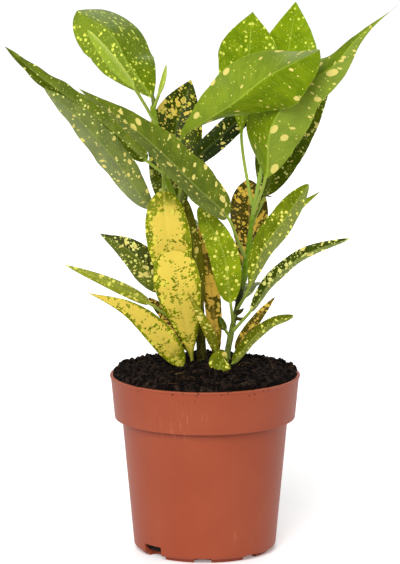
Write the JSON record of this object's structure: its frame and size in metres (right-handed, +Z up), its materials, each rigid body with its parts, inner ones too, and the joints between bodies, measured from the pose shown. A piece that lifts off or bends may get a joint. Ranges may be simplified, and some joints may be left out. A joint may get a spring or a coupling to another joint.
{
  "type": "potted croton",
  "caption": "Young croton with yellow-spotted green leaves on upright stems, planted in a round terracotta-coloured plastic nursery pot filled with dark peat soil.",
  "frame": {"origin": "middle of the pot's base, in the plane that the pot stands on", "axes": "+Z up along the pot's axis, -Y towards the plant's front, +X to the right seen from the front"},
  "size_m": [0.2464, 0.1524, 0.3493],
  "materials": {
    "pot_plastic": "satin",
    "peat_soil": "matte",
    "woody_stem": "matte",
    "green_stem": "satin",
    "young_leaf": "satin",
    "green_leaf": "satin",
    "mature_leaf": "gloss",
    "dark_leaf": "gloss",
    "gold_leaf": "satin",
    "orange_leaf": "satin"
  },
  "bodies": {
    "root": {"pot": "pot_plastic", "soil": "peat_soil", "left_stem": "woody_stem", "right_stem": "green_stem", "left_crown_front_leaf": "young_leaf", "left_crown_rear_leaf": "young_leaf", "left_crown_spear": "young_leaf", "blotched_upper_leaf": "dark_leaf", "left_long_upper_leaf": "mature_leaf", "left_long_lower_leaf": "mature_leaf", "spotted_rear_leaf": "mature_leaf", "hanging_gold_leaf": "gold_leaf", "broad_crossing_leaf": "young_leaf", "dark_centre_leaf": "mature_leaf", "left_folded_side_leaf": "mature_leaf", "left_narrow_leaf": "green_leaf", "rear_upper_leaf": "mature_leaf", "rear_lower_leaf": "dark_leaf", "left_crossing_leaf": "mature_leaf", "front_green_leaf": "green_leaf", "orange_rear_leaf": "orange_leaf", "right_green_leaf": "green_leaf", "right_rear_leaf": "green_leaf", "right_long_leaf": "mature_leaf", "small_dark_leaf": "mature_leaf", "rear_right_leaf": "mature_leaf", "right_crown_left_leaf": "young_leaf", "right_crown_tall_leaf": "young_leaf", "right_long_tip_leaf": "young_leaf", "right_crown_dark_leaf": "mature_leaf", "upright_gold_leaf": "gold_leaf", "left_gold_foot_leaf": "gold_leaf", "left_brown_foot_leaf": "orange_leaf", "olive_upright_leaf": "green_leaf", "orange_upright_leaf": "orange_leaf", "right_brown_leaf": "orange_leaf", "right_foot_leaf": "green_leaf", "front_olive_leaf": "green_leaf", "front_curled_leaf": "green_leaf"}
  },
  "joints": []
}
